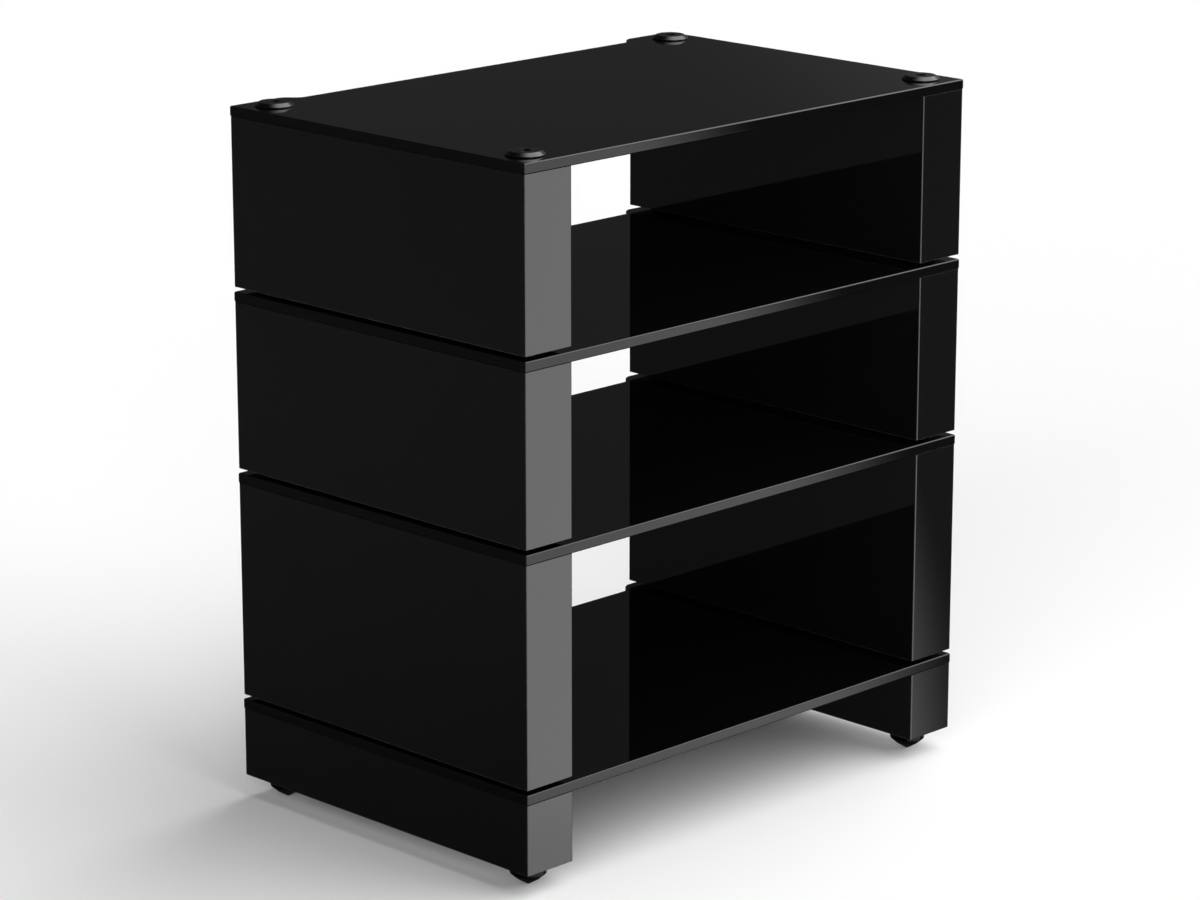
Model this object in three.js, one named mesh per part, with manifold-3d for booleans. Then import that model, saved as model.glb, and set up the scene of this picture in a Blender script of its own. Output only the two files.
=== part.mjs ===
/**
 * Audio equipment rack of four stacking modules: a low base and three taller ones.
 * Each module is a shelf on two deep side uprights. Steel tubes run down through the uprights,
 * and the studs of the discs on the shelf screw into them and clamp shelf and upright together.
 * The base stands on four pointed feet. Each other module stands on four short spikes,
 * whose tips rest in the dishes of the discs of the module below.
 *
 * All lengths are in millimetres. The front faces -Y, the left side is -X and +Z is up.
 * The origin is on the floor, under the middle of the rack.
 */
import * as THREE from 'three';
import { mergeVertices } from 'three/addons/utils/BufferGeometryUtils.js';
import Module from 'manifold-3d';

const wasm = await Module();
wasm.setup();

// Overall sizes. A stacked module's height runs from the shelf below to its own shelf's top.
const RACK_WIDTH = 600;
const RACK_DEPTH = 400;
const BASE_UPRIGHT_HEIGHT = 69;
const LOWER_MODULE_HEIGHT = 230;
const MIDDLE_MODULE_HEIGHT = 180;
const UPPER_MODULE_HEIGHT = 180;

// Shelf, with a shallow notch for cables along its back edge
const SHELF_THICKNESS = 10;
const SHELF_CORNER_RADIUS = 1.5;
const SHELF_EDGE_CHAMFER = 1;
const SHELF_PANEL_WIDTH = 400;
const CABLE_NOTCH_DEPTH = 14;
const CABLE_NOTCH_END_RUN = 23;

// Uprights
const UPRIGHT_THICKNESS = 59;
const UPRIGHT_INSET = 0.5;
const UPRIGHT_EDGE_CHAMFER = 0.6;

// Studs, and their distance from the shelf's front and back edges
const STUD_RADIUS = 4;
const STUD_INSET = 30;
const THREAD_CLEARANCE = 0.3;
const SHELF_HOLE_CLEARANCE = 0.5;

// Tie tube
const TUBE_WALL = 3;
const TUBE_FLANGE_WIDTH = 4;
const TUBE_FLANGE_THICKNESS = 3;
const TUBE_TOP_RECESS = 1;
const TUBE_BORE_CLEARANCE = 0.3;
const TUBE_FLANGE_CLEARANCE = 1;

// Disc: a bevelled shoe with a flat top round a small dish
const DISC_RADIUS = 18.4;
const DISC_EDGE_HEIGHT = 1.2;
const DISC_BEVEL_WIDTH = 3.9;
const DISC_BEVEL_HEIGHT = 3.1;
const DISC_TOP_CLEARANCE = 0.3;
const DISC_DISH_RADIUS = 5.5;
const DISC_DISH_DEPTH = 2.3;
const DISC_SEAT_RADIUS = 1.6;
const DISC_STUD_ENGAGEMENT = 12;

// Levelling foot of the base
const FOOT_TIP_RADIUS = 1.2;
const FOOT_POINT_RADIUS = 11.4;
const FOOT_POINT_HEIGHT = 6.4;
const FOOT_RADIUS = 17.5;
const FOOT_BEVEL_HEIGHT = 5.5;
const FOOT_BODY_HEIGHT = 10.1;
const FOOT_STUD_ENGAGEMENT = 16;
const FOOT_TRAVEL = 10;
const FOOT_END_CLEARANCE = 1;
const FOOT_SIDE_CLEARANCE = 1;

// Stacking spike of the other modules
const SPIKE_RADIUS = 7;
const SPIKE_TIP_RADIUS = 0.8;
const SPIKE_POINT_HEIGHT = 7;
const SPIKE_COLLAR_HEIGHT = 4;
const SPIKE_STUD_ENGAGEMENT = 12;

// How far a cutting shape runs past what it cuts
const CUT_OVERRUN = 2;

// Steps round a full turn and along a curve, and rings across the disc's dish
const WIDE_ROUND_STEPS = 24;
const NARROW_ROUND_STEPS = 12;
const CURVE_STEPS = 5;
const DISH_RINGS = 2;

// Places that follow from the sizes above
const discHeight = DISC_EDGE_HEIGHT + DISC_BEVEL_HEIGHT;
const seatHeight = discHeight - DISC_DISH_DEPTH;
const stackGap = discHeight + DISC_TOP_CLEARANCE;
const uprightX = RACK_WIDTH / 2 - UPRIGHT_INSET - UPRIGHT_THICKNESS / 2;
const uprightInnerX = uprightX - UPRIGHT_THICKNESS / 2;
const uprightDepth = RACK_DEPTH - 2 * UPRIGHT_INSET;
const studY = RACK_DEPTH / 2 - STUD_INSET;
const tubeInnerRadius = STUD_RADIUS + THREAD_CLEARANCE;
const tubeOuterRadius = tubeInnerRadius + TUBE_WALL;
const tubeFlangeRadius = tubeOuterRadius + TUBE_FLANGE_WIDTH;
const footBevelTop = FOOT_POINT_HEIGHT + FOOT_BEVEL_HEIGHT;
const footHeight = footBevelTop + FOOT_BODY_HEIGHT;
const footTubeZ = footHeight + FOOT_TRAVEL + FOOT_END_CLEARANCE;
const spikeHeight = SPIKE_POINT_HEIGHT + SPIKE_COLLAR_HEIGHT;
const corners = [
  { corner: 'front_left', x: -uprightX, y: -studY },
  { corner: 'front_right', x: uprightX, y: -studY },
  { corner: 'rear_left', x: -uprightX, y: studY },
  { corner: 'rear_right', x: uprightX, y: studY },
];

// A solid turned about the Z axis from a profile of [radius, height] points.
function turned(profile, steps) {
  const points = profile.map(([radius, height]) => new THREE.Vector2(radius, height));
  return new THREE.LatheGeometry(points, steps).rotateX(Math.PI / 2);
}

// A plate or block from its plan, standing on z = 0, with its top and bottom edges chamfered.
function chamferedSlab(plan, height, chamfer, curveSegments) {
  return new THREE.ExtrudeGeometry(plan, {
    depth: height - 2 * chamfer,
    bevelThickness: chamfer,
    bevelSize: chamfer,
    bevelOffset: -chamfer,
    bevelSegments: 1,
    curveSegments,
  }).translate(0, 0, chamfer);
}

function solidFrom(geometry) {
  const bare = geometry.clone();
  bare.deleteAttribute('normal');
  bare.deleteAttribute('uv');
  const merged = mergeVertices(bare);
  return new wasm.Manifold(new wasm.Mesh({
    numProp: 3,
    vertProperties: merged.attributes.position.array,
    triVerts: Uint32Array.from(merged.index.array),
  }));
}

function geometryFrom(solid) {
  const mesh = solid.getMesh();
  const geometry = new THREE.BufferGeometry();
  geometry.setAttribute('position', new THREE.BufferAttribute(mesh.vertProperties, 3));
  geometry.setIndex(new THREE.BufferAttribute(mesh.triVerts, 1));
  geometry.computeVertexNormals();
  return geometry;
}

// Takes one copy of the cutting shape out of the body at each of the places.
function cutAt(places, body, cutter) {
  let solid = solidFrom(body);
  for (const { x, y } of places) {
    solid = solid.subtract(solidFrom(cutter.clone().translate(x, y, 0)));
  }
  return geometryFrom(solid);
}

function blackGlass() {
  return new THREE.MeshStandardMaterial({ color: 0x0b0b0c, roughness: 0.06, metalness: 0 });
}

function blackLacquer() {
  return new THREE.MeshStandardMaterial({ color: 0x0d0d0d, roughness: 0.12, metalness: 0 });
}

function blackChrome() {
  return new THREE.MeshStandardMaterial({ color: 0x3a3a3d, roughness: 0.18, metalness: 1 });
}

function brightSteel() {
  return new THREE.MeshStandardMaterial({ color: 0xa8aaad, roughness: 0.35, metalness: 1 });
}

// The notch is as wide as the bay, and each of its ends is one smooth S.
function shelfPlan() {
  const side = RACK_WIDTH / 2;
  const end = RACK_DEPTH / 2;
  const radius = SHELF_CORNER_RADIUS;
  const notchY = end - CABLE_NOTCH_DEPTH;
  const notchX = uprightInnerX - CABLE_NOTCH_END_RUN;
  const bendX = (uprightInnerX + notchX) / 2;
  const plan = new THREE.Shape();
  plan.moveTo(radius - side, -end);
  plan.lineTo(side - radius, -end);
  plan.absarc(side - radius, radius - end, radius, -Math.PI / 2, 0);
  plan.lineTo(side, end - radius);
  plan.absarc(side - radius, end - radius, radius, 0, Math.PI / 2);
  plan.lineTo(uprightInnerX, end);
  plan.bezierCurveTo(bendX, end, bendX, notchY, notchX, notchY);
  plan.lineTo(-notchX, notchY);
  plan.bezierCurveTo(-bendX, notchY, -bendX, end, -uprightInnerX, end);
  plan.lineTo(radius - side, end);
  plan.absarc(radius - side, end - radius, radius, Math.PI / 2, Math.PI);
  plan.lineTo(-side, radius - end);
  plan.absarc(radius - side, radius - end, radius, Math.PI, 1.5 * Math.PI);
  return plan;
}

// The panel that takes the equipment is joined in between the two drilled ends,
// so that its top stays one plain rectangle, clear of the holes.
function shelfGeometry() {
  const slab = solidFrom(
    chamferedSlab(shelfPlan(), SHELF_THICKNESS, SHELF_EDGE_CHAMFER, CURVE_STEPS),
  );
  const middle = solidFrom(
    new THREE.BoxGeometry(SHELF_PANEL_WIDTH, 2 * RACK_DEPTH, 4 * SHELF_THICKNESS),
  );
  const holeRadius = STUD_RADIUS + SHELF_HOLE_CLEARANCE;
  const hole = turned([
    [0, -CUT_OVERRUN],
    [holeRadius, -CUT_OVERRUN],
    [holeRadius, SHELF_THICKNESS + CUT_OVERRUN],
    [0, SHELF_THICKNESS + CUT_OVERRUN],
  ], NARROW_ROUND_STEPS);
  const ends = cutAt(corners, geometryFrom(slab.subtract(middle)), hole);
  const panel = geometryFrom(slab.intersect(middle));
  return geometryFrom(solidFrom(ends).add(solidFrom(panel)));
}

// A block with chamfered edges, bored for its two tie tubes and recessed for what is under them.
function uprightGeometry(height, recessRadius, recessDepth) {
  const x = UPRIGHT_THICKNESS / 2;
  const y = uprightDepth / 2;
  const cut = UPRIGHT_EDGE_CHAMFER;
  const plan = new THREE.Shape([
    new THREE.Vector2(cut - x, -y),
    new THREE.Vector2(x - cut, -y),
    new THREE.Vector2(x, cut - y),
    new THREE.Vector2(x, y - cut),
    new THREE.Vector2(x - cut, y),
    new THREE.Vector2(cut - x, y),
    new THREE.Vector2(-x, y - cut),
    new THREE.Vector2(-x, cut - y),
  ]);
  const block = chamferedSlab(plan, height, UPRIGHT_EDGE_CHAMFER, CURVE_STEPS);
  const boreRadius = tubeOuterRadius + TUBE_BORE_CLEARANCE;
  const bore = turned([
    [0, -CUT_OVERRUN],
    [recessRadius, -CUT_OVERRUN],
    [recessRadius, recessDepth],
    [boreRadius, recessDepth],
    [boreRadius, height + CUT_OVERRUN],
    [0, height + CUT_OVERRUN],
  ], WIDE_ROUND_STEPS);
  return cutAt([{ x: 0, y: -studY }, { x: 0, y: studY }], block, bore);
}

function tieTubeGeometry(length) {
  return turned([
    [tubeInnerRadius, 0],
    [tubeFlangeRadius, 0],
    [tubeFlangeRadius, TUBE_FLANGE_THICKNESS],
    [tubeOuterRadius, TUBE_FLANGE_THICKNESS],
    [tubeOuterRadius, length],
    [tubeInnerRadius, length],
    [tubeInnerRadius, 0],
  ], NARROW_ROUND_STEPS);
}

// The dish is a small bowl that meets the flat seat in its middle.
function discGeometry() {
  const studLength = SHELF_THICKNESS + TUBE_TOP_RECESS + DISC_STUD_ENGAGEMENT;
  const dish = [];
  for (let ring = 0; ring <= DISH_RINGS; ring += 1) {
    const share = 1 - ring / DISH_RINGS;
    dish.push([
      DISC_SEAT_RADIUS + (DISC_DISH_RADIUS - DISC_SEAT_RADIUS) * share,
      seatHeight + DISC_DISH_DEPTH * share * share,
    ]);
  }
  return turned([
    [0, -studLength],
    [STUD_RADIUS, -studLength],
    [STUD_RADIUS, 0],
    [DISC_RADIUS, 0],
    [DISC_RADIUS, DISC_EDGE_HEIGHT],
    [DISC_RADIUS - DISC_BEVEL_WIDTH, discHeight],
    ...dish,
    [0, seatHeight],
  ], WIDE_ROUND_STEPS);
}

// A blunt point, a bevel and a straight body under a long stud
function footGeometry() {
  const studTop = footTubeZ + FOOT_STUD_ENGAGEMENT;
  return turned([
    [0, 0],
    [FOOT_TIP_RADIUS, 0],
    [FOOT_POINT_RADIUS, FOOT_POINT_HEIGHT],
    [FOOT_RADIUS, footBevelTop],
    [FOOT_RADIUS, footHeight],
    [STUD_RADIUS, footHeight],
    [STUD_RADIUS, studTop],
    [0, studTop],
  ], WIDE_ROUND_STEPS);
}

function spikeGeometry() {
  const studTop = spikeHeight + SPIKE_STUD_ENGAGEMENT;
  return turned([
    [0, 0],
    [SPIKE_TIP_RADIUS, 0],
    [SPIKE_RADIUS, SPIKE_POINT_HEIGHT],
    [SPIKE_RADIUS, spikeHeight],
    [STUD_RADIUS, spikeHeight],
    [STUD_RADIUS, studTop],
    [0, studTop],
  ], NARROW_ROUND_STEPS);
}

// What a module stands on: the height of its tip, of the uprights' undersides and of the tubes'
// lower ends above the surface under the module, and the recess in the uprights that takes it.
const footSupport = {
  name: 'foot',
  geometry: footGeometry,
  tipZ: 0,
  uprightZ: footHeight,
  tubeZ: footTubeZ,
  recessRadius: Math.max(FOOT_RADIUS + FOOT_SIDE_CLEARANCE, tubeFlangeRadius + TUBE_FLANGE_CLEARANCE),
};
const spikeSupport = {
  name: 'stacking_spike',
  geometry: spikeGeometry,
  tipZ: seatHeight,
  uprightZ: stackGap,
  tubeZ: seatHeight + spikeHeight,
  recessRadius: tubeFlangeRadius + TUBE_FLANGE_CLEARANCE,
};

// One module, built up from z = 0 on the surface that it stands on
function rackModule(label, height, support) {
  const group = new THREE.Group();
  const place = (piece, geometry, material, x, y, z) => {
    const mesh = new THREE.Mesh(geometry, material);
    mesh.name = `${label}_${piece}`;
    mesh.position.set(x, y, z);
    group.add(mesh);
  };

  const shelfZ = height - SHELF_THICKNESS;
  place('shelf', shelfGeometry(), blackGlass(), 0, 0, shelfZ);

  const uprightHeight = shelfZ - support.uprightZ;
  const recessDepth = support.tubeZ + TUBE_FLANGE_THICKNESS - support.uprightZ;
  for (const [side, x] of [['left', -uprightX], ['right', uprightX]]) {
    const upright = uprightGeometry(uprightHeight, support.recessRadius, recessDepth);
    place(`upright_${side}`, upright, blackLacquer(), x, 0, support.uprightZ);
  }

  const tubeLength = shelfZ - TUBE_TOP_RECESS - support.tubeZ;
  for (const { corner, x, y } of corners) {
    place(`${support.name}_${corner}`, support.geometry(), blackChrome(), x, y, support.tipZ);
    place(`tie_tube_${corner}`, tieTubeGeometry(tubeLength), brightSteel(), x, y, support.tubeZ);
    place(`disc_${corner}`, discGeometry(), blackChrome(), x, y, height);
  }
  return group;
}

// The modules from the floor up
const stack = [
  ['base', footHeight + BASE_UPRIGHT_HEIGHT + SHELF_THICKNESS, footSupport],
  ['lower', LOWER_MODULE_HEIGHT, spikeSupport],
  ['middle', MIDDLE_MODULE_HEIGHT, spikeSupport],
  ['upper', UPPER_MODULE_HEIGHT, spikeSupport],
];
const rack = new THREE.Group();
let standingZ = 0;
for (const [label, height, support] of stack) {
  const unit = rackModule(label, height, support);
  unit.position.z = standingZ;
  rack.add(unit);
  standingZ += height;
}

export default rack;
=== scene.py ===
import math

import bmesh
import bpy
from mathutils import Matrix, Vector


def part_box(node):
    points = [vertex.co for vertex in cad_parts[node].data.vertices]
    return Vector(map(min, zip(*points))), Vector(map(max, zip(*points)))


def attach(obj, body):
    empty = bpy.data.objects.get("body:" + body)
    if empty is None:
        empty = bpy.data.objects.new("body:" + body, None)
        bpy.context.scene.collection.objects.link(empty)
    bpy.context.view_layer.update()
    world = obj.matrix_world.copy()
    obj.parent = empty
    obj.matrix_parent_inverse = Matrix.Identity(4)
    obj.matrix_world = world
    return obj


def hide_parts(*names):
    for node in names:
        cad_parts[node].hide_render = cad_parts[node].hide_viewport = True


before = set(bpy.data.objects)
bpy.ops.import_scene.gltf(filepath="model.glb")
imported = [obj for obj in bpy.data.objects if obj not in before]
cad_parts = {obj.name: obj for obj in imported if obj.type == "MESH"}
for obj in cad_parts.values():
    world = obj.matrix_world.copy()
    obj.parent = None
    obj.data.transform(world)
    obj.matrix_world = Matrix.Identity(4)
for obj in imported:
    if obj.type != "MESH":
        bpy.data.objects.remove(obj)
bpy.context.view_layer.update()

MM = 0.001
MODULES = ("base", "lower", "middle", "upper")
CORNERS = ("front_left", "front_right", "rear_left", "rear_right")

# Edges of the pieces. A rub is how much of the lighter edge tone the middle of an arc takes, from
# 0 to 1. That tone is wear, and along the uprights' bottom edges and on the feet also a painted
# reflection of the floor.
SHELF_CORNER_RADIUS = 1.5 * MM
SHELF_EDGE_CHAMFER = 1 * MM
SHELF_EDGE_SOFTENING = 0.3 * MM
UPRIGHT_CORNER_RADIUS = 1.4 * MM
UPRIGHT_TOP_RADIUS = 0.3 * MM
UPRIGHT_BOTTOM_RADIUS = 1.2 * MM
UPRIGHT_RUB = 0.15
HOLE_EDGE_SOFTENING = 0.4 * MM

# The cable notch along the back of a shelf: its depth, how far each curved end runs, how far the
# straight edges beside an end are held straight, and the steps that an end is drawn in
NOTCH_DEPTH = 14 * MM
NOTCH_END_RUN = 23 * MM
NOTCH_HOLD = 1 * MM
NOTCH_STEPS = 24

# Studs, their holes, and the bores and recesses of the uprights
STUD_RADIUS = 4 * MM
STUD_END_SOFTENING = 0.8 * MM
SHELF_HOLE_RADIUS = 4.5 * MM
BORE_RADIUS = 7.6 * MM
SPIKE_RECESS_RADIUS = 12.3 * MM
FOOT_RECESS_RADIUS = 18.5 * MM
TUBE_FLANGE_THICKNESS = 3 * MM

# Discs: edge and bevel round a flat top, and the dish in its middle
DISC_EDGE_HEIGHT = 1.2 * MM
DISC_BEVEL_WIDTH = 3.9 * MM
DISC_SOFTENING = 0.25 * MM
DISC_DISH_RADIUS = 5.5 * MM
DISC_DISH_DEPTH = 2.3 * MM
DISC_DISH_TAPER = 0.4 * MM
DISC_DISH_RIM_SOFTENING = 0.1 * MM
DISC_DISH_FLOOR_SOFTENING = 0.9 * MM

# Feet and stacking spikes
FOOT_TIP_RADIUS = 1.2 * MM
FOOT_POINT_RADIUS = 11.4 * MM
FOOT_POINT_HEIGHT = 6.4 * MM
FOOT_BEVEL_HEIGHT = 5.5 * MM
FOOT_BODY_HEIGHT = 10.1 * MM
FOOT_SOFTENING = 0.5 * MM
SPIKE_TIP_RADIUS = 0.8 * MM
SPIKE_POINT_HEIGHT = 7 * MM
SPIKE_COLLAR_HEIGHT = 4 * MM
SPIKE_SOFTENING = 0.4 * MM

# How finely round shapes are drawn: steps round a turned piece and a hole, and along an arc
TURN_STEPS = 96
HOLE_STEPS = 48
PROFILE_ARC_STEPS = 4
SHELF_ARC_STEPS = 8
UPRIGHT_ARC_STEPS = 6

# An arc takes up at most ARC_SHARE of each line beside it. The points that keep those lines
# straight stand GUARD reaches from the corner, and the flat top or underside of an upright begins
# FACE_START radii in from its sides.
ARC_SHARE = 0.42
GUARD = 1.15
FACE_START = 1.25

# Limits for an outline that is moved inwards: of its mitres, and of how small its arcs become
MITRE_LIMIT = 0.5
SMALLEST_ARC_SHARE = 0.1

# A profile's point closer to the axis than this is on it
ON_AXIS = 0.0001 * MM

# Uprights share a mesh when their heights agree to this many digits of a metre
HEIGHT_DIGITS = 6


# ---------------------------------------------------------------- outlines and meshes

def softened(points, steps=PROFILE_ARC_STEPS):
    """Turns each corner of an outline into a small arc and returns (place, wear) pairs.

    A point is (a, b) for a corner that stays, or (a, b, reach, rub) for one whose arc starts that
    far before the corner. The edge mark is 0 on the straight lines and grows to rub, or to 1 where
    none is given, in the middle of an arc. It is wear, and along the uprights' bottom edges and on
    the feet also a painted reflection of the floor. The two ends of an open outline have to be
    corners that stay.
    """
    soft = []
    for i, point in enumerate(points):
        corner = Vector(point[:2])
        reach = point[2] if len(point) > 2 else 0.0
        rub = point[3] if len(point) > 3 else 1.0
        if not reach:
            soft.append((corner, 0.0))
            continue
        to_before = Vector(points[i - 1][:2]) - corner
        to_after = Vector(points[(i + 1) % len(points)][:2]) - corner
        reach = min(reach, ARC_SHARE * to_before.length, ARC_SHARE * to_after.length)
        to_before.normalize()
        to_after.normalize()
        half = to_before.angle(to_after) / 2
        centre = corner + (to_before + to_after).normalized() * reach / math.cos(half)
        start = corner + to_before * reach - centre
        end = corner + to_after * reach - centre
        soft.append((corner + to_before * reach * GUARD, 0.0))
        for step in range(steps + 1):
            share = step / steps
            arm = start.lerp(end, share).normalized() * start.length
            soft.append((centre + arm, rub * (1 - abs(2 * share - 1))))
        soft.append((corner + to_after * reach * GUARD, 0.0))
    return soft


def new_mesh():
    mesh = bmesh.new()
    mesh.verts.layers.float.new("wear_and_glint")
    return mesh


def add_ring(mesh, places, wear_and_glint_levels):
    layer = mesh.verts.layers.float["wear_and_glint"]
    ring = []
    for place, wear_and_glint in zip(places, wear_and_glint_levels):
        vert = mesh.verts.new(place)
        vert[layer] = wear_and_glint
        ring.append(vert)
    return ring


def join_rings(mesh, rings):
    """Quads between each ring and the next; a ring of one point closes in a fan."""
    for low, high in zip(rings, rings[1:]):
        count = max(len(low), len(high))
        for i in range(count):
            j = (i + 1) % count
            corners = [
                low[i % len(low)], low[j % len(low)], high[j % len(high)], high[i % len(high)],
            ]
            mesh.faces.new(list(dict.fromkeys(corners))).smooth = True


def fill_between(mesh, rings):
    """A flat-shaded face inside the first ring and round the others."""
    edges = [
        mesh.edges.get((ring[i - 1], ring[i])) for ring in rings for i in range(len(ring))
    ]
    bmesh.ops.triangle_fill(mesh, use_beauty=True, use_dissolve=False, edges=edges)


def finished(mesh, name):
    bmesh.ops.recalc_face_normals(mesh, faces=mesh.faces)
    data = bpy.data.meshes.new(name)
    mesh.to_mesh(data)
    mesh.free()
    return data


def turn_rings(mesh, profile, centre, steps):
    """The rings of a profile of (radius, height) turned about the vertical through centre."""
    rings = []
    for (radius, height), wear_and_glint in profile:
        count = steps if radius > ON_AXIS else 1
        places = []
        for i in range(count):
            turn = math.tau * i / steps
            x = centre[0] + radius * math.cos(turn)
            y = centre[1] + radius * math.sin(turn)
            places.append((x, y, height))
        rings.append(add_ring(mesh, places, [wear_and_glint] * count))
    return rings


def turned(name, profile):
    mesh = new_mesh()
    join_rings(mesh, turn_rings(mesh, softened(profile), (0, 0), TURN_STEPS))
    return finished(mesh, name)


def drawn_in(points, inset):
    """An outline moved inwards by inset, with its corner arcs made tighter to suit."""
    places = [Vector(point[:2]) for point in points]
    moved = []
    for i, place in enumerate(places):
        ahead = (places[(i + 1) % len(places)] - place).normalized()
        behind = (place - places[i - 1]).normalized()
        normal = Vector((ahead.y + behind.y, -ahead.x - behind.x)).normalized()
        outward = normal / max(normal.dot(Vector((ahead.y, -ahead.x))), MITRE_LIMIT)
        reaches = [max(reach - inset, SMALLEST_ARC_SHARE * reach) for reach in points[i][2:3]]
        moved.append((*(place - outward * inset), *reaches, *points[i][3:]))
    return moved


def slab(name, outline, steps, edge, holes):
    """A plate or block with softened edges and round holes through it.

    outline holds the points of its plan, whose corner arcs have this many steps, and edge the
    (place, wear) pairs of (inset, height) from the bottom face round the side to the top face.
    holes is a list of (centre, profile).
    """
    mesh = new_mesh()
    rings = []
    for (inset, height), wear_and_glint in edge:
        plan = softened(drawn_in(outline, inset), steps)
        places = [(*place, height) for place, _ in plan]
        rings.append(add_ring(mesh, places, [max(wear_and_glint, own) for _, own in plan]))
    join_rings(mesh, rings)
    bottoms, tops = [rings[0]], [rings[-1]]
    for centre, profile in holes:
        hole = turn_rings(mesh, profile, centre, HOLE_STEPS)
        join_rings(mesh, hole)
        bottoms.append(hole[0])
        tops.append(hole[-1])
    fill_between(mesh, bottoms)
    fill_between(mesh, tops)
    return finished(mesh, name)


# ---------------------------------------------------------------- the pieces

def size_of(node):
    low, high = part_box(node)
    return Vector(low), Vector(high)


def shelf_outline(low, high, bay):
    """The shelf's plan, anticlockwise from the front left corner, with its cable notch.

    Each end of the notch is a cubic curve that leaves the back edge and meets the notch's own edge
    without a kink. bay is half the width between the uprights.
    """
    radius = SHELF_CORNER_RADIUS
    notch_y = high.y - NOTCH_DEPTH
    notch_x = bay - NOTCH_END_RUN
    bend_x = (bay + notch_x) / 2
    curve = []
    for step in range(NOTCH_STEPS + 1):
        t = step / NOTCH_STEPS
        x = (1 - t) ** 3 * bay + 3 * (1 - t) * t * bend_x + t ** 3 * notch_x
        y = notch_y + NOTCH_DEPTH * (1 - t) ** 2 * (1 + 2 * t)
        curve.append((x, y))
    return [
        (low.x, low.y, radius),
        (high.x, low.y, radius),
        (high.x, high.y, radius),
        (bay + NOTCH_HOLD, high.y),
        *curve,
        (notch_x - NOTCH_HOLD, notch_y),
        (NOTCH_HOLD - notch_x, notch_y),
        *((-x, y) for x, y in reversed(curve)),
        (-bay - NOTCH_HOLD, high.y),
        (low.x, high.y, radius),
    ]


def shelf_mesh(node, bay, studs):
    low, high = size_of(node)
    thickness = high.z - low.z
    chamfer = SHELF_EDGE_CHAMFER
    soft = SHELF_EDGE_SOFTENING
    edge = softened([
        (2 * chamfer, 0),
        (chamfer, 0, soft),
        (0, chamfer, soft),
        (0, thickness - chamfer, soft),
        (chamfer, thickness, soft),
        (2 * chamfer, thickness),
    ])
    rim = HOLE_EDGE_SOFTENING
    hole = softened([
        (SHELF_HOLE_RADIUS + 2 * rim, 0),
        (SHELF_HOLE_RADIUS, 0, rim),
        (SHELF_HOLE_RADIUS, thickness, rim),
        (SHELF_HOLE_RADIUS + 2 * rim, thickness),
    ])
    holes = [(stud, hole) for stud in studs]
    return slab("shelf", shelf_outline(low, high, bay), SHELF_ARC_STEPS, edge, holes)


def upright_mesh(node, recess_radius, recess_depth, stud_y):
    low, high = size_of(node)
    half = (high - low) / 2
    height = high.z - low.z
    corner = (UPRIGHT_CORNER_RADIUS, UPRIGHT_RUB)
    plan = [
        (-half.x, -half.y, *corner),
        (half.x, -half.y, *corner),
        (half.x, half.y, *corner),
        (-half.x, half.y, *corner),
    ]
    edge = softened([
        (FACE_START * UPRIGHT_BOTTOM_RADIUS, 0),
        # the bottom edge takes the full edge tone: wear and a painted reflection of the floor
        (0, 0, UPRIGHT_BOTTOM_RADIUS),
        (0, height, UPRIGHT_TOP_RADIUS, UPRIGHT_RUB),
        (FACE_START * UPRIGHT_TOP_RADIUS, height),
    ], UPRIGHT_ARC_STEPS)
    rim = HOLE_EDGE_SOFTENING
    hole = softened([
        (recess_radius + 2 * rim, 0),
        (recess_radius, 0, rim),
        (recess_radius, recess_depth, rim),
        (BORE_RADIUS, recess_depth, rim),
        (BORE_RADIUS, height, rim),
        (BORE_RADIUS + 2 * rim, height),
    ])
    holes = [((0, y), hole) for y in (-stud_y, stud_y)]
    return slab("upright", plan, UPRIGHT_ARC_STEPS, edge, holes)


def disc_mesh(node, stud_length):
    low, high = size_of(node)
    radius = (high.x - low.x) / 2
    thickness = (high.z - low.z) - stud_length
    seat = thickness - DISC_DISH_DEPTH
    return turned("disc", [
        (0, -stud_length),
        (STUD_RADIUS, -stud_length, STUD_END_SOFTENING),
        (STUD_RADIUS, 0, DISC_SOFTENING),
        (radius, 0, DISC_SOFTENING),
        (radius, DISC_EDGE_HEIGHT, DISC_SOFTENING),
        (radius - DISC_BEVEL_WIDTH, thickness, DISC_SOFTENING),
        (DISC_DISH_RADIUS, thickness, DISC_DISH_RIM_SOFTENING),
        (DISC_DISH_RADIUS - DISC_DISH_TAPER, seat, DISC_DISH_FLOOR_SOFTENING),
        (0, seat),
    ])


def foot_mesh(node):
    low, high = size_of(node)
    radius = (high.x - low.x) / 2
    height = high.z - low.z
    bevel_top = FOOT_POINT_HEIGHT + FOOT_BEVEL_HEIGHT
    body_top = bevel_top + FOOT_BODY_HEIGHT
    # every edge of the foot takes the full edge tone: wear and a painted reflection of the floor
    return turned("foot", [
        (0, 0),
        (FOOT_TIP_RADIUS, 0, FOOT_SOFTENING),
        (FOOT_POINT_RADIUS, FOOT_POINT_HEIGHT, FOOT_SOFTENING),
        (radius, bevel_top, FOOT_SOFTENING),
        (radius, body_top, FOOT_SOFTENING),
        (STUD_RADIUS, body_top, FOOT_SOFTENING),
        (STUD_RADIUS, height, STUD_END_SOFTENING),
        (0, height),
    ])


def spike_mesh(node):
    low, high = size_of(node)
    radius = (high.x - low.x) / 2
    height = high.z - low.z
    collar_top = SPIKE_POINT_HEIGHT + SPIKE_COLLAR_HEIGHT
    return turned("stacking_spike", [
        (0, 0),
        (SPIKE_TIP_RADIUS, 0, SPIKE_SOFTENING),
        (radius, SPIKE_POINT_HEIGHT, SPIKE_SOFTENING),
        (radius, collar_top, SPIKE_SOFTENING),
        (STUD_RADIUS, collar_top, SPIKE_SOFTENING),
        (STUD_RADIUS, height, STUD_END_SOFTENING),
        (0, height),
    ])


# ---------------------------------------------------------------- materials

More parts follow.
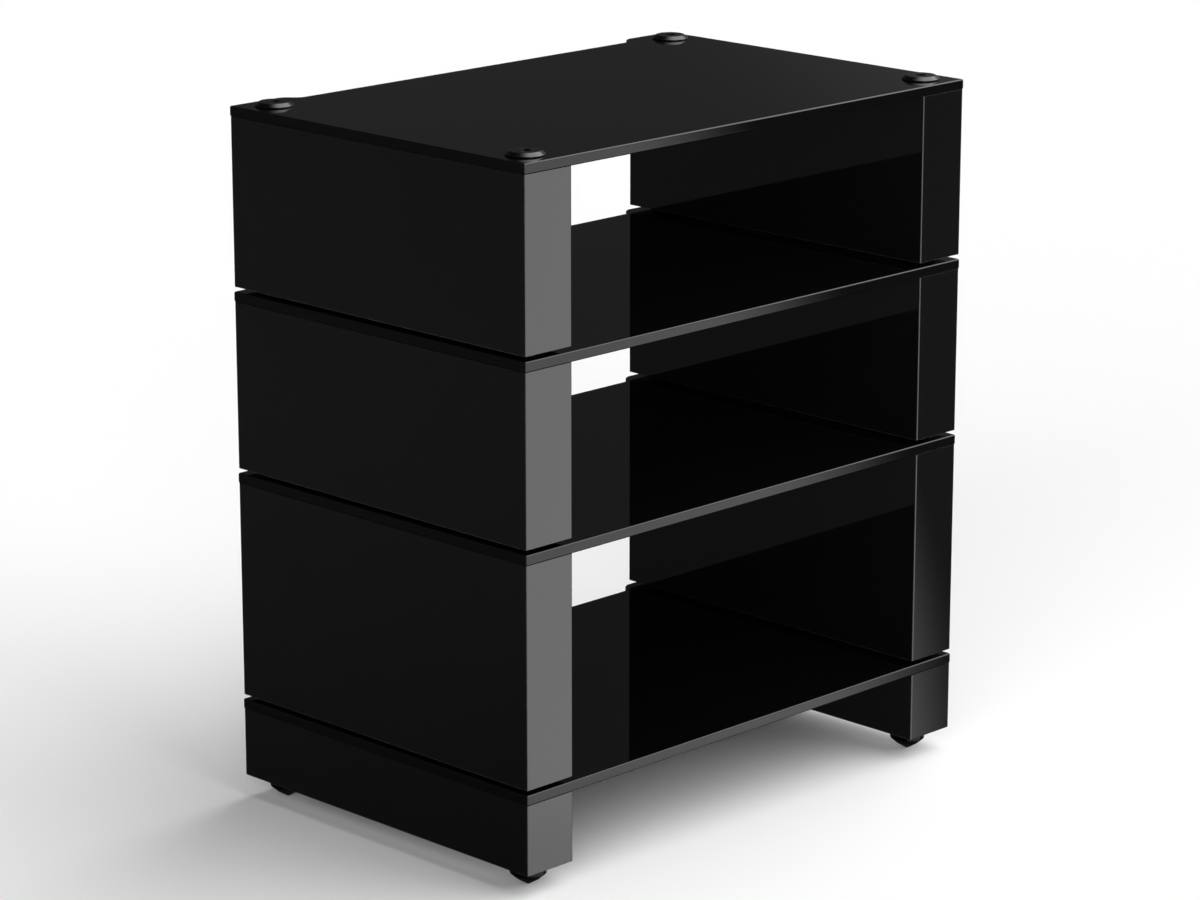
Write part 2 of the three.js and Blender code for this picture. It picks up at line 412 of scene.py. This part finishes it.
# Tones are shares of white, and depths are in metres. A pair holds the two ends of a range.
LACQUER_TONES = (0.0014, 0.0024)
LACQUER_ROUGHNESS = (0.022, 0.04)
LACQUER_PEEL_DEPTH = 0.0012 * MM
# Lighter edge tone: wear, and along the uprights' bottom edges also a painted floor reflection
LACQUER_WEAR_AND_GLINT_TONE = 0.09
LACQUER_RUBBED_ROUGHNESS = 0.12
LACQUER_MATT_ROUGHNESS = 0.6
LACQUER_MATT_HEIGHTS = (0.1 * MM, 0.3 * MM)

GLASS_TONES = (0.0010, 0.0018)
GLASS_ROUGHNESS = (0.012, 0.03)
GLASS_SPECULAR = 0.23
GLASS_FLOW_DEPTH = 0.01 * MM
GLASS_RUBBED_TONE = 0.02
GLASS_RUBBED_SHARE = 0.3
GLASS_RUBBED_ROUGHNESS = 0.1

# A BLUE is the factor that a tone's blue is raised by. The rings are counted along the radius
# plus CHROME_RING_RISE times the height, so that they also show on upright sides.
CHROME_TONES = (0.035, 0.043)
CHROME_RUBBED_TONE = 0.10
CHROME_ROUGHNESS = (0.20, 0.26)
CHROME_BLUE = 1.06
CHROME_WEAR_AND_GLINT_BLUE = 1.04
CHROME_WEAR_AND_GLINT_SHARE = 0.5
CHROME_RING_WIDTH = 0.28 * MM
CHROME_RING_DEPTH = 0.0015 * MM
CHROME_RING_RISE = 0.8
# Feet: the chrome darkened as painted shade, and an edge tone of wear and painted floor reflection
FOOT_PAINTED_SHADE_TONES = (0.009, 0.013)
FOOT_WEAR_AND_GLINT_TONE = 0.08

# A tone and its BLUE
ZINC_DARK = (0.42, 1.03)
ZINC_LIGHT = (0.60, 1.02)
ZINC_ROUGHNESS = (0.28, 0.42)
ZINC_GRAIN_DEPTH = 0.004 * MM

FLOOR_SHADE = 0.93
FLOOR_MOTTLE = 0.005


def grey(level, blue=1.0):
    """A grey of this level, with its blue raised by a factor."""
    return (level, level, level * blue, 1.0)


class Finish:
    """One material, with short ways to add its nodes."""

    def __init__(self, name):
        self.material = bpy.data.materials.new(name)
        self.material.use_nodes = True
        self.tree = self.material.node_tree
        self.shader = self.tree.nodes["Principled BSDF"]
        self.place = self.add("ShaderNodeTexCoord").outputs["Object"]

    def add(self, kind, inputs=(), **settings):
        node = self.tree.nodes.new(kind)
        for name, value in settings.items():
            setattr(node, name, value)
        for name, value in dict(inputs).items():
            self.feed(node.inputs[name], value)
        return node

    def feed(self, socket, value):
        if isinstance(value, bpy.types.NodeSocket):
            self.tree.links.new(value, socket)
        else:
            socket.default_value = value

    def noise(self, scale, detail, stretch=None):
        """Noise of this many cells a metre, or this many times stretch on x, y and z."""
        place = self.place
        if stretch:
            place = self.add("ShaderNodeMapping", {"Vector": place, "Scale": stretch}).outputs[0]
        inputs = {"Vector": place, "Scale": scale, "Detail": detail}
        return self.add("ShaderNodeTexNoise", inputs).outputs["Fac"]

    def ranged(self, value, source, target=(0.0, 1.0)):
        """value between the two numbers of source, eased to between the two of target."""
        inputs = {"Value": value, "From Min": source[0], "From Max": source[1]}
        inputs |= {"To Min": target[0], "To Max": target[1]}
        node = self.add("ShaderNodeMapRange", inputs, interpolation_type="SMOOTHSTEP")
        return node.outputs["Result"]

    def math(self, operation, first, second=0.0):
        node = self.add("ShaderNodeMath", operation=operation)
        self.feed(node.inputs[0], first)
        self.feed(node.inputs[1], second)
        return node.outputs[0]

    def plus(self, first, second):
        return self.math("ADD", first, second)

    def times(self, first, second):
        return self.math("MULTIPLY", first, second)

    def mixed(self, share, first, second):
        node = self.add("ShaderNodeMix", data_type="RGBA")
        self.feed(node.inputs["Factor"], share)
        self.feed(node.inputs["A"], first)
        self.feed(node.inputs["B"], second)
        return node.outputs["Result"]

    def axes(self):
        """The piece's own x, y and z."""
        apart = self.add("ShaderNodeSeparateXYZ", {"Vector": self.place})
        return [apart.outputs[axis] for axis in ("X", "Y", "Z")]

    def radius(self, x, y):
        """How far a place is from the piece's own z axis."""
        return self.math("SQRT", self.plus(self.times(x, x), self.times(y, y)))

    def dusted(self, body, scale, specks, cover, tone):
        """body with specks of dust, which come in where a noise rises through specks.

        A full speck hides a share of the body, and cover is that share.
        """
        speck = self.ranged(self.noise(scale, detail=0.0), specks)
        return self.mixed(self.times(speck, cover), body, grey(tone))

    def edge_wear_and_glint(self, scale, detail, patches, least):
        """Edge wear and painted floor reflection, from least of it to all of it as a noise rises
        through patches.
        """
        wear_and_glint = self.add("ShaderNodeAttribute", attribute_name="wear_and_glint").outputs["Fac"]
        return self.times(wear_and_glint, self.ranged(self.noise(scale, detail), patches, (least, 1.0)))

    def bump(self, height, depth):
        inputs = {"Height": height, "Distance": depth, "Strength": 1.0}
        return self.add("ShaderNodeBump", inputs).outputs["Normal"]

    def set(self, **values):
        for name, value in values.items():
            self.feed(self.shader.inputs[name.replace("_", " ")], value)
        return self.material

    def shine(self, shader):
        """Shows only this shader, and keeps it out of the lamps that lighting is sampled from."""
        self.tree.nodes.remove(self.shader)
        output = self.tree.nodes["Material Output"]
        self.tree.links.new(shader.outputs[0], output.inputs["Surface"])
        self.material.cycles.emission_sampling = "NONE"
        return self.material

    def glow(self, cover, strength):
        """Light of this strength where cover is 1, and clear where it is 0."""
        light = self.add("ShaderNodeEmission", {"Strength": strength})
        clear = self.add("ShaderNodeBsdfTransparent")
        both = self.add("ShaderNodeMixShader")
        for i, source in enumerate((cover, clear.outputs[0], light.outputs[0])):
            self.tree.links.new(source, both.inputs[i])
        return self.shine(both)


def black_lacquer():
    """Polished black lacquer: a faint orange peel, slow changes of gloss, dust, and lighter edges:
    wear, and along the uprights' bottom edges also a painted reflection of the floor.

    The underside, where z is 0, is left matt.
    """
    finish = Finish("black_lacquer")
    cloud = finish.noise(scale=7.0, detail=3.0)
    peel = finish.noise(scale=420.0, detail=1.0)
    edge_wear_and_glint = finish.edge_wear_and_glint(scale=160.0, detail=3.0, patches=(0.35, 0.7), least=0.4)
    body = finish.mixed(cloud, *map(grey, LACQUER_TONES))
    body = finish.dusted(body, scale=2600.0, specks=(0.73, 0.80), cover=0.25, tone=0.045)
    # lighter edges: wear, and along the bottom edges also a painted reflection of the floor
    colour = finish.mixed(edge_wear_and_glint, body, grey(LACQUER_WEAR_AND_GLINT_TONE))
    height = finish.axes()[-1]
    underside = finish.ranged(height, LACQUER_MATT_HEIGHTS, (1.0, 0.0))
    rough = finish.ranged(cloud, (0.35, 0.65), LACQUER_ROUGHNESS)
    rough = finish.plus(rough, finish.times(edge_wear_and_glint, LACQUER_RUBBED_ROUGHNESS))
    rough = finish.plus(rough, finish.times(underside, LACQUER_MATT_ROUGHNESS))
    peel = finish.bump(peel, LACQUER_PEEL_DEPTH)
    return finish.set(Base_Color=colour, Roughness=rough, Normal=peel)


def black_glass():
    """Black glass: almost a mirror, with faint wiping marks and a little dust."""
    finish = Finish("black_glass")
    wipe = finish.noise(scale=26.0, detail=4.0, stretch=(1.0, 0.22, 1.0))
    cloud = finish.noise(scale=4.0, detail=2.0)
    edge_wear_and_glint = finish.edge_wear_and_glint(scale=300.0, detail=2.0, patches=(0.3, 0.7), least=0.3)
    body = finish.mixed(cloud, *map(grey, GLASS_TONES))
    body = finish.dusted(body, scale=2400.0, specks=(0.74, 0.80), cover=0.2, tone=0.05)
    colour = finish.mixed(finish.times(edge_wear_and_glint, GLASS_RUBBED_SHARE), body, grey(GLASS_RUBBED_TONE))
    rough = finish.ranged(wipe, (0.35, 0.75), GLASS_ROUGHNESS)
    rough = finish.plus(rough, finish.times(edge_wear_and_glint, GLASS_RUBBED_ROUGHNESS))
    flow = finish.bump(finish.noise(scale=3.0, detail=1.0), GLASS_FLOW_DEPTH)
    return finish.set(
        Base_Color=colour, Roughness=rough, Specular_IOR_Level=GLASS_SPECULAR, Normal=flow,
    )


def black_chrome(name, tones, wear_and_glint_tone):
    """Dark chrome over turned metal: fine rings round the axis, and small changes of tone."""
    finish = Finish(name)
    x, y, z = finish.axes()
    run = finish.plus(finish.radius(x, y), finish.times(z, CHROME_RING_RISE))
    rings = finish.math("SINE", finish.times(run, math.tau / CHROME_RING_WIDTH))
    cloud = finish.noise(scale=120.0, detail=3.0)
    uneven = finish.times(rings, finish.ranged(cloud, (0.3, 0.7), (0.4, 1.0)))
    edge_wear_and_glint = finish.edge_wear_and_glint(scale=500.0, detail=2.0, patches=(0.35, 0.65), least=0.2)
    body = finish.mixed(cloud, *(grey(tone, CHROME_BLUE) for tone in tones))
    wear_and_glint_colour = grey(wear_and_glint_tone, CHROME_WEAR_AND_GLINT_BLUE)
    # lighter edges: wear on discs and spikes, wear and a painted floor reflection on the feet
    colour = finish.mixed(finish.times(edge_wear_and_glint, CHROME_WEAR_AND_GLINT_SHARE), body, wear_and_glint_colour)
    rough = finish.ranged(cloud, (0.3, 0.7), CHROME_ROUGHNESS)
    turning = finish.bump(uneven, CHROME_RING_DEPTH)
    return finish.set(Base_Color=colour, Metallic=1.0, Roughness=rough, Normal=turning)


def zinc_plate():
    """Zinc-plated steel tube: mottled tone with a soft grain along its length."""
    finish = Finish("zinc_plate")
    mottle = finish.noise(scale=260.0, detail=4.0)
    grain = finish.noise(scale=900.0, detail=2.0, stretch=(1.0, 1.0, 0.08))
    colour = finish.mixed(mottle, grey(*ZINC_DARK), grey(*ZINC_LIGHT))
    rough = finish.ranged(mottle, (0.3, 0.7), ZINC_ROUGHNESS)
    grain = finish.bump(grain, ZINC_GRAIN_DEPTH)
    return finish.set(Base_Color=colour, Metallic=1.0, Roughness=rough, Normal=grain)


def pale_floor():
    """A plain matt floor, all but even in tone."""
    finish = Finish("pale_floor")
    dark = grey(FLOOR_SHADE * (1 - FLOOR_MOTTLE))
    light = grey(FLOOR_SHADE * (1 + FLOOR_MOTTLE))
    colour = finish.mixed(finish.noise(scale=1.5, detail=2.0), dark, light)
    return finish.set(Base_Color=colour, Roughness=1.0, Specular_IOR_Level=0.0)


# ---------------------------------------------------------------- dressing the frame

def new_object(name, data):
    thing = bpy.data.objects.new(name, data)
    bpy.context.scene.collection.objects.link(thing)
    return thing


def dress(data, node, body, material, at):
    """Puts one piece in place of its node and lets it ride on the node's body."""
    piece = new_object(node + "_finish", data)
    piece.location = at
    if not data.materials:
        data.materials.append(material)
    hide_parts(node)
    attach(piece, body)


lacquer = black_lacquer()
glass = black_glass()
chrome = black_chrome("black_chrome", CHROME_TONES, CHROME_RUBBED_TONE)
# The feet take the chrome darkened, painted shade for where they stand under the uprights
foot_chrome = black_chrome("foot_chrome_with_painted_shade", FOOT_PAINTED_SHADE_TONES, FOOT_WEAR_AND_GLINT_TONE)
zinc = zinc_plate()

shelf_low, shelf_high = size_of("base_shelf")
disc_low, disc_high = size_of("base_disc_front_right")
bay_half_width = -size_of("base_upright_left")[1].x
stud_x = (disc_low.x + disc_high.x) / 2
stud_y = -(disc_low.y + disc_high.y) / 2
stud_places = [(x, y) for y in (-stud_y, stud_y) for x in (-stud_x, stud_x)]

shelf_data = shelf_mesh("base_shelf", bay_half_width, stud_places)
disc_data = disc_mesh("base_disc_front_left", shelf_high.z - disc_low.z)
foot_data = foot_mesh("base_foot_front_left")
spike_data = spike_mesh("lower_stacking_spike_front_left")
upright_data = {}

for module in MODULES:
    body = f"{module}_module"
    shelf = f"{module}_shelf"
    shelf_z = size_of(shelf)[0].z
    disc_z = shelf_z + shelf_high.z - shelf_low.z
    dress(shelf_data, shelf, body, glass, (0, 0, shelf_z))

    for side in ("left", "right"):
        node = f"{module}_upright_{side}"
        low, high = size_of(node)
        kind = (module == "base", round(high.z - low.z, HEIGHT_DIGITS))
        if kind not in upright_data:
            recess = FOOT_RECESS_RADIUS if module == "base" else SPIKE_RECESS_RADIUS
            tube_z = size_of(f"{module}_tie_tube_front_left")[0].z
            depth = tube_z + TUBE_FLANGE_THICKNESS - low.z
            upright_data[kind] = upright_mesh(node, recess, depth, stud_y)
        at = ((low.x + high.x) / 2, 0, low.z)
        dress(upright_data[kind], node, body, lacquer, at)

    for corner, (x, y) in zip(CORNERS, stud_places):
        dress(disc_data, f"{module}_disc_{corner}", body, chrome, (x, y, disc_z))
        if module == "base":
            node = f"base_foot_{corner}"
            at = (x, y, size_of(node)[0].z)
            dress(foot_data, node, f"foot_{corner}", foot_chrome, at)
        else:
            node = f"{module}_stacking_spike_{corner}"
            at = (x, y, size_of(node)[0].z)
            dress(spike_data, node, body, chrome, at)
        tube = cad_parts[f"{module}_tie_tube_{corner}"]
        for slot in tube.material_slots:
            slot.material = zinc


# ---------------------------------------------------------------- camera, floor and light

# The camera, as fitted to the corners of the rack in the photo
CAMERA_AZIMUTH = math.radians(45.184)
CAMERA_ELEVATION = math.radians(15.192)
CAMERA_PLACE = (-2.7912, -2.7693, 1.4020)
CAMERA_SENSOR = 36
CAMERA_LENS = 124.15

# The floor is a square that reaches FLOOR_REACH each way, and lies FLOOR_DROP under the feet. The
# wall is a ring of the same reach.
FLOOR_REACH = 30.0
FLOOR_DROP = 0.2 * MM
WALL_STEPS = 48
WALL_HEIGHT = 12.0

# The panels that reflections show hang round the middle of the rack's front
PANEL_CENTRE = (0, -0.2, 0.345)

# The reflector: which way and how far from PANEL_CENTRE it hangs, and its sides. Its own x runs to
# the right as seen from beyond it with the rack behind it, and its y runs up. Left of the fold is
# a wing that turns in towards the rack.
CARD_WAY = (0.714, -0.650, -0.261)
CARD_DISTANCE = 1.5
CARD_LEFT = -2.1
CARD_FOLD = -1.1
CARD_WING_DEPTH = 1.4
CARD_RIGHT = 1.0
CARD_BOTTOM = -1.2
CARD_TOP = 0.9

# Its light fades in towards CARD_LEAN, an angle in degrees from x, over a strip CARD_SOFTNESS wide
# that lies CARD_EDGE along that way from the middle and bows round the height CARD_BOW_MIDDLE. It
# fades out over CARD_BORDER at the left, lower and upper borders, and is dimmed to CARD_LOW_SHARE
# below the heights of CARD_DIMMING.
CARD_BORDER = 0.3
CARD_LEAN = 201.0
CARD_EDGE = -0.099
CARD_BOW = 0.30
CARD_BOW_MIDDLE = 0.08
CARD_SOFTNESS = 0.21
CARD_STRENGTH = 2.76
CARD_LOW_SHARE = 0.863
CARD_DIMMING = (-0.535, -0.378)

# Each round light: its name, its azimuth, elevation, core and spread in degrees, and its strength.
# Azimuths run from 0 at -Y to 90 at +X. Its panel reaches GLOW_MARGIN degrees past its spread.
GLOWS = (
    ("high_glow", 66, 57, 18, 48, 5.2),
    ("side_glow", 108, -8, 0, 34, 0.9),
)
GLOW_DISTANCE = 5.0
GLOW_MARGIN = 1

# Each distant lamp: its name, its azimuth, elevation and width in degrees, and its level, which is
# the share of a white floor's full brightness that it gives
SUNS = (
    ("key", 52, 42, 94, 0.82),
    ("fill", 305, 15, 53, 0.20),
)

# Height in degrees above the horizon, and how bright the surround is there
SURROUND = ((-23, 0.030), (-14, 0.098), (-4, 0.084), (6, 0.050))

# The one face of a panel of four points
QUAD = ((0, 1, 2, 3),)


def square(reach):
    return [(-reach, -reach, 0), (reach, -reach, 0), (reach, reach, 0), (-reach, reach, 0)]


def staged(name, points, material, faces=QUAD):
    data = bpy.data.meshes.new(name)
    data.from_pydata(points, [], faces)
    data.materials.append(material)
    plane = new_object(name, data)
    return plane


def photo_camera():
    data = bpy.data.cameras.new("camera")
    data.sensor_width = CAMERA_SENSOR
    data.lens = CAMERA_LENS
    camera = new_object("camera", data)
    camera.location = CAMERA_PLACE
    camera.rotation_euler = (math.pi / 2 - CAMERA_ELEVATION, 0, -CAMERA_AZIMUTH)
    bpy.context.scene.camera = camera


def pale_wall():
    """A white wall round the floor's far edge, that only a low camera sees."""
    finish = Finish("pale_wall")
    white = finish.add("ShaderNodeEmission", {"Color": grey(1.0), "Strength": 1.0})
    turn = [math.tau * i / WALL_STEPS for i in range(WALL_STEPS)]
    foot = [(FLOOR_REACH * math.cos(a), FLOOR_REACH * math.sin(a), 0) for a in turn]
    top = [(x, y, WALL_HEIGHT) for x, y, _ in foot]
    after = [(i + 1) % WALL_STEPS for i in range(WALL_STEPS)]
    faces = [(i, j, j + WALL_STEPS, i + WALL_STEPS) for i, j in enumerate(after)]
    wall = staged("wall", foot + top, finish.shine(white), faces)
    wall.visible_diffuse = False
    wall.visible_glossy = False
    wall.visible_shadow = False


def hung(name, toward, distance, points, faces, material):
    """A panel at this distance from PANEL_CENTRE, that only reflections show."""
    toward = Vector(toward).normalized()
    level = Vector((0, 0, 1)).cross(toward).normalized()
    upward = toward.cross(level)
    panel = staged(name, points, material, faces)
    middle = Vector(PANEL_CENTRE) + toward * distance
    turn = Matrix((level, upward, toward)).transposed().to_4x4()
    panel.matrix_world = Matrix.Translation(middle) @ turn
    panel.visible_camera = False
    panel.visible_diffuse = False
    panel.visible_shadow = False


def reflector():
    """A softly edged bright panel, low in front and to the right.

    Where it isn't bright it is clear, so that reflections there show the surround.
    """
    finish = Finish("reflector")
    x, y, _ = finish.axes()
    lean = math.radians(CARD_LEAN)
    across = finish.plus(finish.times(x, math.cos(lean)), finish.times(y, math.sin(lean)))
    above = finish.math("SUBTRACT", y, CARD_BOW_MIDDLE)
    bow = finish.times(finish.times(above, above), CARD_BOW)
    across = finish.math("SUBTRACT", across, bow)
    half = CARD_SOFTNESS / 2
    cover = finish.ranged(across, (CARD_EDGE - half, CARD_EDGE + half))
    for value, border in (
        (x, (CARD_LEFT, CARD_LEFT + CARD_BORDER)),
        (y, (CARD_BOTTOM, CARD_BOTTOM + CARD_BORDER)),
        (y, (CARD_TOP, CARD_TOP - CARD_BORDER)),
    ):
        cover = finish.times(cover, finish.ranged(value, border))
    low_strength = CARD_LOW_SHARE * CARD_STRENGTH
    strength = finish.ranged(y, CARD_DIMMING, (low_strength, CARD_STRENGTH))
    points = [
        (CARD_LEFT, CARD_BOTTOM, -CARD_WING_DEPTH),
        (CARD_FOLD, CARD_BOTTOM, 0),
        (CARD_RIGHT, CARD_BOTTOM, 0),
        (CARD_RIGHT, CARD_TOP, 0),
        (CARD_FOLD, CARD_TOP, 0),
        (CARD_LEFT, CARD_TOP, -CARD_WING_DEPTH),
    ]
    faces = [(0, 1, 4, 5), (1, 2, 3, 4)]
    hung("reflector", CARD_WAY, CARD_DISTANCE, points, faces, finish.glow(cover, strength))


def round_light(name, azimuth, elevation, core, spread, strength):
    """A light that is even out to core degrees from its middle and gone at spread degrees."""
    finish = Finish(name)
    x, y, _ = finish.axes()
    away = finish.math("DIVIDE", finish.radius(x, y), GLOW_DISTANCE)
    away = finish.math("ARCTANGENT", away)
    cover = finish.ranged(away, (math.radians(spread), math.radians(core)))
    turn, rise = math.radians(azimuth), math.radians(elevation)
    way = (math.sin(turn) * math.cos(rise), -math.cos(turn) * math.cos(rise), math.sin(rise))
    reach = GLOW_DISTANCE * math.tan(math.radians(spread + GLOW_MARGIN))
    material = finish.glow(cover, strength)
    hung(name, way, GLOW_DISTANCE, square(reach), QUAD, material)


def sun(name, azimuth, elevation, width, level):
    """A soft distant lamp that reflections don't show."""
    lamp = bpy.data.lights.new(name, "SUN")
    turn = math.radians(azimuth)
    rise = math.radians(elevation)
    lamp.angle = math.radians(width)
    lamp.energy = level * math.pi / math.sin(rise)
    holder = new_object(name, lamp)
    tilt = Matrix.Rotation(math.pi / 2 - rise, 3, "X")
    holder.rotation_euler = (Matrix.Rotation(turn, 3, "Z") @ tilt).to_euler()
    holder.visible_glossy = False


def studio():
    """A dim surround, lightest a little below the horizon.

    A direction's z, which runs from -1 to 1, is brought to the 0 to 1 of the colour ramp.
    """
    world = bpy.data.worlds.new("studio")
    world.use_nodes = True
    tree = world.node_tree
    way = tree.nodes.new("ShaderNodeTexCoord")
    apart = tree.nodes.new("ShaderNodeSeparateXYZ")
    height = tree.nodes.new("ShaderNodeMath")
    height.operation = "MULTIPLY_ADD"
    height.inputs[1].default_value = 0.5
    height.inputs[2].default_value = 0.5
    ramp = tree.nodes.new("ShaderNodeValToRGB")
    ramp.color_ramp.interpolation = "EASE"
    marks = ramp.color_ramp.elements
    for rise, level in SURROUND:
        mark = marks.new(0.5 + 0.5 * math.sin(math.radians(rise)))
        mark.color = grey(level)
    marks.remove(marks[0])
    marks.remove(marks[-1])
    tree.links.new(way.outputs["Generated"], apart.inputs[0])
    tree.links.new(apart.outputs["Z"], height.inputs[0])
    tree.links.new(height.outputs[0], ramp.inputs[0])
    tree.links.new(ramp.outputs[0], tree.nodes["Background"].inputs["Color"])
    bpy.context.scene.world = world


photo_camera()
floor = staged("floor", square(FLOOR_REACH), pale_floor())
floor.location.z = -FLOOR_DROP
floor.visible_glossy = False
pale_wall()
reflector()
for settings in GLOWS:
    round_light(*settings)
for settings in SUNS:
    sun(*settings)
studio()
bpy.context.scene.view_settings.view_transform = "Standard"
